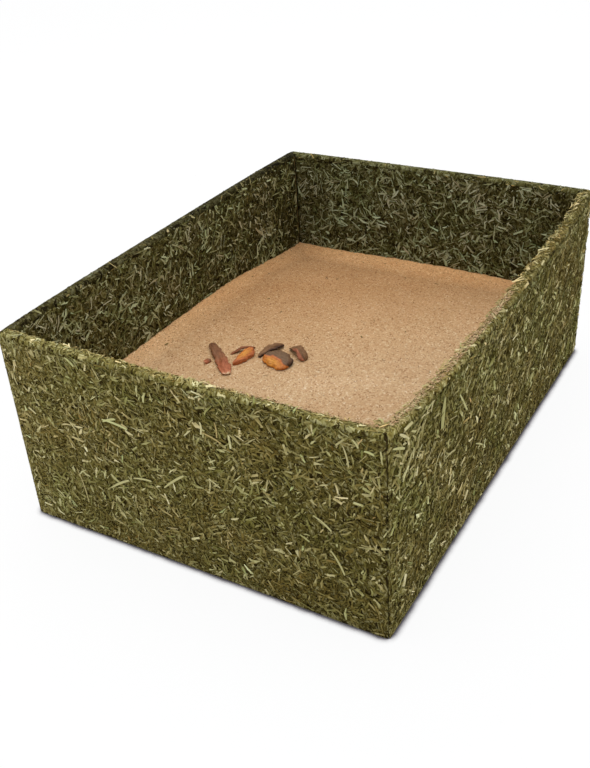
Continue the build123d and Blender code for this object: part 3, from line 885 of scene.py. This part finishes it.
palette_u = add("Math MULTIPLY_ADD", kept["side"], 0.01, 0.005)
palette = add(
    "CombineXYZ", add("Math MULTIPLY_ADD", kept["shade"], 0.98, palette_u),
    add("Math MULTIPLY_ADD", kept["run"], 0.8, 0.1),
)
real = add("StoreNamedAttribute", real, True, "OFBake", palette, data_type="FLOAT2", domain="CORNER")
add("GroupOutput", add("SetMaterial", real, True, loose_grain))
on_box(grown("loose_grains", grain_tree, {}), "digging_sand")

# Sand that has been dug out lies along the inside of the two rubbed rims, by the near corner. Its
# grains are 0.2 to 0.5 mm, and are drawn 0.7 to 1.8 mm long, because finer ones don't show.
spilled_per_mm2 = 5
for wall, half_spill, way, from_face, seed in (
    ("left", 55 * mm, 1, 4.4 * mm, 91), ("front", 88 * mm, -1, 2.6 * mm, 92),
):
    spilled = grown(f"{wall}_rim_spilled_sand", chopped_tree, {
        "Half run": half_spill, "Bottom": from_face, "Top": wall_thickness + 0.4 * mm,
        "Blades": int(spilled_per_mm2 * half_spill * (wall_thickness - from_face) / mm ** 2),
        "Shortest": 0.7 * mm, "Longest": 1.8 * mm, "Width": 1.0 * mm, "Tilt": 0.3, "Pile": 1.2 * mm,
        "Darkest": 0.03, "Palest": 2.4, "First shape": 5, "Last shape": 5, "Seed": seed,
    }, loose_grain)
    move_points(spilled, folded_over)
    from_middle = way * (half_run[wall] - half_spill - 9 * mm)
    stand_in_wall(spilled, wall, Matrix.Translation((from_middle, 0, box_height + 0.1 * mm)))
    on_box(spilled, "digging_sand")

# Crumbs of hay that have dropped from the walls on to the sand
crumbs = grown("hay_crumbs", chopped_tree, {
    "Half run": sand_high.x - 4 * mm, "Bottom": sand_low.y + 4 * mm, "Top": sand_high.y - 4 * mm,
    "Blades": 90, "Shortest": 1.2 * mm, "Longest": 4 * mm, "Tilt": 0.05, "Pile": 0.1 * mm, "Palest": 0.7,
    "Lift": -0.3, "Seed": 71,
})
move_points(crumbs, lambda x, y, z: (x, y, z + sand_level(x, y) + 0.3 * mm))
on_box(crumbs, "floor_hay")


# The treats: slices and peelings of root vegetables, wrinkled and curled as they dried. Each is
# made from a few stations along it: a place along its length, then how far its two long edges
# lie to the side, and how high they are over the sand. All of these are in millimetres.
def dried_piece(node, turn, stations, thickness, crown, wrinkle, ragged, seed):
    """A closed, wrinkled piece that takes a treat's place, and where each of its points is on it.

    Along and across run from 0 to 1, and up from -1 underneath to 1 on top.
    """
    rings, around, soft_over = 89, 36, 13
    low_corner, high_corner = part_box(node)
    place = Vector(((low_corner.x + high_corner.x) / 2, (low_corner.y + high_corner.y) / 2, low_corner.z))
    s = np.sin(np.linspace(-pi / 2, pi / 2, rings))
    run, *stations_of_edges = np.array(stations).T
    at = np.interp(s, (-1, 1), (run[0], run[-1]))
    soft = np.hanning(soft_over) / np.hanning(soft_over).sum()
    edges = [
        np.convolve(np.pad(np.interp(at, run, edge), soft_over // 2, "edge"), soft, "valid")
        for edge in stations_of_edges
    ]
    draws = np.random.default_rng(seed)
    # Its two long edges are ragged, each in its own way
    for number in (0, 1):
        for wave_mm, share in ((9.0, 0.5), (4.5, 0.35), (2.3, 0.2)):
            wave = np.sin(2 * pi * at / wave_mm + draws.uniform(0, 2 * pi)) * (1 - np.abs(s) ** 8)
            edges[number] = edges[number] + ragged * share * wave
    low_y, high_y, low_z, high_z = (edge[:, None] for edge in edges)
    closing = np.clip(1 - np.abs(s) ** 14, 0.01, 1)[:, None] ** 0.5
    angle = np.linspace(0, 2 * pi, around, endpoint=False)[None, :]
    across, up = (
        np.sign(wave) * np.abs(wave) ** fullness * np.ones_like(closing)
        for wave, fullness in ((np.cos(angle), 0.8), (np.sin(angle), 0.7))
    )
    creases = np.zeros_like(across)
    for waves in (3, 5, 8, 12, 17):
        lean, start, over = draws.uniform(-1.5, 1.5), draws.uniform(0, 2 * pi), draws.uniform(2, 9)
        creases += np.sin(waves * (s[:, None] + 0.3 * lean * across) + over * across + start) / waves ** 0.5
    creases *= wrinkle * closing / 1.6
    side = (high_y + low_y) / 2 + across * ((high_y - low_y) / 2 * closing) + creases * across * 0.6
    height = low_z + (high_z - low_z) * (across + 1) / 2 + crown * (1 - across ** 2) * closing
    height = height + up * thickness / 2 * closing ** 0.7 + creases * up * 0.5
    height = height - height.min()
    points = np.stack([at[:, None] * np.ones_like(across), side, height], 2).reshape(-1, 3) * mm
    faces = tube_faces(rings, around)
    piece = new_piece(f"dried_{node}", points.tolist(), faces)
    piece.data.polygons.foreach_set("use_smooth", [True] * len(faces))
    piece.data.attributes.new("on_root", "FLOAT_VECTOR", "POINT").data.foreach_set("vector", points.ravel())
    piece.data.transform(Matrix.Translation(place) @ Matrix.Rotation(radians(turn), 4, "Z"))
    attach(piece, node)
    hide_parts(node)
    along = (s[:, None] + 1) / 2 * np.ones_like(across)
    return piece, along, (across + 1) / 2, up


def finish_root(piece, zone, material):
    """Give a dried piece its material, and the zones that its colours follow."""
    zones = piece.data.attributes.new("zone", "FLOAT", "POINT")
    zones.data.foreach_set("value", np.clip(zone, 0, 1).ravel())
    piece.data.materials.append(material)


def dried_root(name, stops, roughness):
    """A wrinkled dried root, its colours blended along these stops of its zones."""
    material, add = new_material(name)
    vein_mm, blotch_mm = 1.1, 3.0
    in_mm = add("VectorMath SCALE", add("Attribute", output="Vector", attribute_name="on_root"), 1 / mm)
    drawn_out = add("VectorMath MULTIPLY", in_mm, (0.3, 1.0, 1.0))
    veins = add("TexNoise", drawn_out, 1 / vein_mm, 3.0, {"Distortion": 0.6})
    blotches = add("TexNoise", in_mm, 1 / blotch_mm, 2.0)
    moved = add("Math MULTIPLY_ADD", blotches, 0.16, -0.08)
    zone = add("Math ADD", add("Attribute", output="Fac", attribute_name="zone"), moved)
    colour = add("ValToRGB", zone, stops=stops)
    veined = add("ValToRGB", veins, stops=((0.30, "#c2b3a2"), (0.5, "#e6ddd3"), (0.70, "#ffffff")))
    colour = add("VectorMath MULTIPLY", colour, veined)
    finish(add, colour, roughness, 0.25, (veins, 0.25 * mm, 0.6))
    return material


# Dried beetroot: red brown, darker towards one end, and pale at the other, where it was cut off
beetroot = dried_root("dried_beetroot", (
    (0.00, "#f6dcb8"), (0.04, "#dd9a76"), (0.09, "#b96e49"), (0.30, "#a65f3c"), (0.44, "#94603d"),
    (0.60, "#85583a"), (0.80, "#835939"), (1.00, "#70482c"),
), 0.6)
strip, along, across, up = dried_piece("long_root_strip", 47, (
    (-25.0, -3.0, 3.9, 0.0, 0.2), (-18.0, -4.6, 4.6, 0.9, 0.4), (-9.0, -4.6, 4.6, 2.2, 1.3),
    (0.0, -3.1, 3.8, 2.9, 1.5), (8.0, -3.6, 4.9, 1.7, 2.6), (16.0, -3.9, 4.6, 0.6, 2.0),
    (21.5, -2.6, 3.4, 0.4, 0.9), (25.0, -1.2, 2.0, 0.0, 0.3),
), 1.8, 0.2, 1.1, 0.7, 1)
streaked = 0.22 * np.exp(-((across - 0.55 - 0.2 * along) / 0.10) ** 2) * (along > 0.42)
finish_root(strip, along + 0.02 + streaked, beetroot)
stub, along, across, up = dried_piece("root_stub", -24, (
    (-2.9, -1.7, 1.6, 0.2, 0.0), (-1.0, -2.6, 2.4, 0.3, 0.2), (1.2, -2.4, 2.6, 0.4, 0.2),
    (2.9, -1.6, 1.8, 0.3, 0.0),
), 2.3, 0.5, 0.5, 0.3, 2)
finish_root(stub, 0.03 + 0.7 * along, beetroot)

# Dried carrot: orange flesh with a redder rim, and grey brown skin. The wedge is all flesh.
# The end slice slopes down to its cut face at the left, and its skin rises behind that.
carrot = dried_root("dried_carrot", (
    (0.00, "#dd9a3c"), (0.20, "#d68a33"), (0.38, "#cb7734"), (0.50, "#bb6a3a"), (0.58, "#8c5f3c"),
    (0.68, "#74593c"), (0.86, "#68482d"), (1.00, "#341d0c"),
), 0.5)
wedge, along, across, up = dried_piece("root_wedge", -11, (
    (-12.4, -1.4, 0.6, 0.0, 0.2), (-8.0, -3.6, 1.8, 0.2, 0.8), (-1.5, -4.5, 3.4, 0.4, 2.0),
    (5.0, -4.0, 4.3, 0.4, 2.4), (9.5, -2.6, 4.1, 0.3, 2.2), (12.6, -0.2, 2.6, 0.4, 1.4),
), 3.2, 0.6, 0.6, 0.4, 3)
from_core = np.hypot(1.1 * (2 * across - 1.1), 1.15 * (2 * along - 1.1))
flesh = np.clip(0.46 * from_core ** 1.2 + 0.16 * np.clip(-up, 0, 1), 0, 0.5)
finish_root(wedge, flesh, carrot)
end_slice, along, across, up = dried_piece("root_end_slice", 76, (
    (-12.0, -4.0, 5.6, 0.4, 0.0), (-8.5, -7.2, 8.2, 1.6, 0.0), (-2.5, -9.4, 9.2, 2.8, 0.0),
    (3.5, -9.2, 9.0, 3.2, 0.2), (8.5, -7.0, 7.8, 2.8, 0.8), (12.0, -3.2, 5.4, 2.0, 1.2),
), 2.8, 1.2, 0.9, 0.5, 4)
# Its skin is darker along one long edge and one end, and painted darker underneath: painted shade
dark_rim = np.clip(0.16 - across, 0, 1) + np.clip(0.20 - along, 0, 1) * (across < 0.7)
dark_rim = dark_rim + 0.8 * np.clip(0.05 - up, 0, 1)
from_core = np.hypot(2.4 * (across - 0.80), 0.85 * (2 * along - 1))
flesh = np.clip(0.44 * from_core ** 1.2 + 0.16 * np.clip(-up, 0, 1), 0, 0.47)
cut_at = 0.60 + 0.18 * (2 * along - 1) ** 2 + 0.02 * np.sin(17 * along)
past_cut = np.clip((cut_at - across) / 0.16 + 0.5, 0, 1)
past_cut = past_cut * past_cut * (3 - 2 * past_cut)
finish_root(end_slice, flesh + (0.68 + 1.4 * dark_rim - flesh) * past_cut, carrot)

# Dried peelings: brown skin on top, edges painted nearly black and undersides darker as painted
# shade under their arches, and a reddish inside on the bent one
peel = dried_root("dried_root_peel", (
    (0.00, "#2c190c"), (0.18, "#4a2e1a"), (0.38, "#745334"), (0.62, "#84603d"), (0.80, "#8c5533"),
    (1.00, "#a8684a"),
), 0.65)
thin_curl, along, across, up = dried_piece("thin_root_curl", -33, (
    (-10.2, -0.4, 1.2, 0.0, 0.0), (-6.0, -0.9, 2.0, 1.1, 0.9), (0.0, -0.9, 2.7, 2.8, 2.3),
    (6.0, -1.1, 2.1, 1.8, 1.3), (10.2, -1.2, 0.4, 0.2, 0.0),
), 1.3, 0.2, 0.5, 0.35, 5)
dark_edge = 0.3 * np.clip(across - 0.6, 0, 1) + 0.5 * np.clip(0.1 - up, 0, 1)
finish_root(thin_curl, 0.80 - dark_edge, peel)
dark_strip, along, across, up = dried_piece("dark_root_strip", -25, (
    (-12.4, -2.6, -0.4, 0.0, 0.3), (-7.0, -3.2, 2.2, 0.9, 1.6), (0.0, -3.2, 3.4, 2.3, 3.1),
    (6.0, -3.6, 3.1, 2.6, 2.9), (12.4, -1.4, 1.3, 0.6, 0.3),
), 1.7, 0.3, 0.9, 0.5, 6)
dark_edge = 1.3 * np.clip(0.40 - across, 0, 1) + 0.25 * np.clip(0.1 - up, 0, 1)
finish_root(dark_strip, 0.60 - dark_edge, peel)
bent_curl, along, across, up = dried_piece("bent_root_curl", 53, (
    (-11.0, -3.4, 2.6, 0.0, 0.3), (-7.0, -4.1, 3.6, 3.2, 2.4), (-1.0, -4.3, 3.8, 5.6, 4.6),
    (5.0, -3.8, 4.1, 4.0, 3.6), (11.0, -1.8, 3.0, 0.2, 0.3),
), 1.5, 0.2, 0.9, 0.5, 7)
# A fold runs down its length, painted dark with the shade in its crease, and beside that its
# inside shows reddish
fold = np.exp(-((across - 0.50 - 0.15 * along) / 0.07) ** 2)
blush = 0.38 * np.clip((across - 0.58) / 0.12, 0, 1) * np.clip((0.62 - along) / 0.12, 0, 1)
dark_edge = 1.2 * np.clip(0.2 - across, 0, 1)
finish_root(bent_curl, 0.60 + blush - 0.42 * fold - dark_edge, peel)
